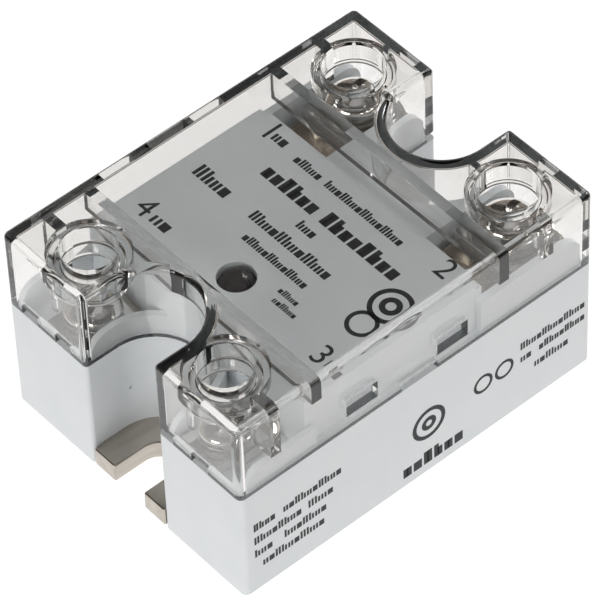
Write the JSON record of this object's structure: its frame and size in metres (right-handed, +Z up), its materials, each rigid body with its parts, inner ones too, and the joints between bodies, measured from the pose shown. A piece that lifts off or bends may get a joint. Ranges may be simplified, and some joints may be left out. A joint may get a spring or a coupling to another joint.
{
  "type": "solid state relay",
  "caption": "Panel-mount solid state relay: white housing on a metal base plate, clear lift-off touch guard, saddle-clamp screw terminals and a status lamp.",
  "frame": {"origin": "middle of the base plate's underside, which is the centre of the bottom of the bounding box", "axes": "+X along the length towards output terminals 1 and 2, +Y towards terminals 1 and 4, +Z up out of the mounting surface"},
  "size_m": [0.0584, 0.0448, 0.031],
  "materials": {
    "nickel_plate": "nickel plated sheet, satin",
    "white_moulding": "light cool grey-white moulded plastic, fine texture",
    "ceramic": "bare alumina",
    "copper": "bare copper",
    "silicon": "polished silicon",
    "plated_copper": "nickel plated copper, bright",
    "potting": "soft dark potting",
    "circuit_board": "green solder mask",
    "black_moulding": "moulded black",
    "blue_moulding": "moulded blue",
    "tan_moulding": "lacquered tan",
    "lamp_lens": "dark tinted lens",
    "plated_steel": "bright nickel plate",
    "spring_steel": "plated spring steel",
    "clear_moulding": "clear moulded polycarbonate, polished"
  },
  "bodies": {
    "base": {"base_plate": "nickel_plate", "housing": "white_moulding", "ceramic_substrate": "ceramic", "copper_tracks": "copper", "thyristor_dice": "silicon", "bridge_straps": "copper", "busbar_1": "plated_copper", "busbar_2": "plated_copper", "header_pins": "plated_copper", "potting": "potting", "driver_board": "circuit_board", "optocoupler": "black_moulding", "bridge_rectifier": "black_moulding", "snubber_capacitor": "blue_moulding", "smoothing_capacitor": "blue_moulding", "board_resistors": "tan_moulding", "varistor": "blue_moulding", "status_lamp": "lamp_lens", "input_strip_3": "plated_copper", "input_strip_4": "plated_copper", "output_nuts": "plated_steel", "input_nuts": "plated_steel"},
    "cover": {"clear_cover": "clear_moulding", "driver_collars": "clear_moulding"},
    "clamp_1": {"clamp_1": "plated_steel", "washer_1": "spring_steel"},
    "screw_1": {"screw_1": "plated_steel"},
    "clamp_2": {"clamp_2": "plated_steel", "washer_2": "spring_steel"},
    "screw_2": {"screw_2": "plated_steel"},
    "clamp_3": {"clamp_3": "plated_steel", "washer_3": "spring_steel"},
    "screw_3": {"screw_3": "plated_steel"},
    "clamp_4": {"clamp_4": "plated_steel", "washer_4": "spring_steel"},
    "screw_4": {"screw_4": "plated_steel"}
  },
  "joints": [
    {"name": "cover_lift", "type": "slide", "parent": "base", "child": "cover", "axis": [0, 0, 1], "range_m": [0, 0.022]},
    {"name": "clamp_1_lift", "type": "slide", "parent": "base", "child": "clamp_1", "axis": [0, 0, 1], "range_m": [0, 0.0028]},
    {"name": "screw_1_turn", "type": "hinge", "parent": "clamp_1", "child": "screw_1", "pos_m": [0.0221, 0.0145, 0.02], "axis": [0, 0, 1], "range_deg": [0, 1440.1]},
    {"name": "clamp_2_lift", "type": "slide", "parent": "base", "child": "clamp_2", "axis": [0, 0, 1], "range_m": [0, 0.0028]},
    {"name": "screw_2_turn", "type": "hinge", "parent": "clamp_2", "child": "screw_2", "pos_m": [0.0221, -0.0145, 0.02], "axis": [0, 0, 1], "range_deg": [0, 1440.1]},
    {"name": "clamp_3_lift", "type": "slide", "parent": "base", "child": "clamp_3", "axis": [0, 0, 1], "range_m": [0, 0.0024]},
    {"name": "screw_3_turn", "type": "hinge", "parent": "clamp_3", "child": "screw_3", "pos_m": [-0.0229, -0.013, 0.02], "axis": [0, 0, 1], "range_deg": [0, 1440.1]},
    {"name": "clamp_4_lift", "type": "slide", "parent": "base", "child": "clamp_4", "axis": [0, 0, 1], "range_m": [0, 0.0024]},
    {"name": "screw_4_turn", "type": "hinge", "parent": "clamp_4", "child": "screw_4", "pos_m": [-0.0229, 0.013, 0.02], "axis": [0, 0, 1], "range_deg": [0, 1440.1]}
  ],
  "couplings": [
    {"joint": "screw_1_turn", "follows": "clamp_1_lift", "rad_per_m": 8976},
    {"joint": "screw_2_turn", "follows": "clamp_2_lift", "rad_per_m": 8976},
    {"joint": "screw_3_turn", "follows": "clamp_3_lift", "rad_per_m": 10472},
    {"joint": "screw_4_turn", "follows": "clamp_4_lift", "rad_per_m": 10472}
  ]
}
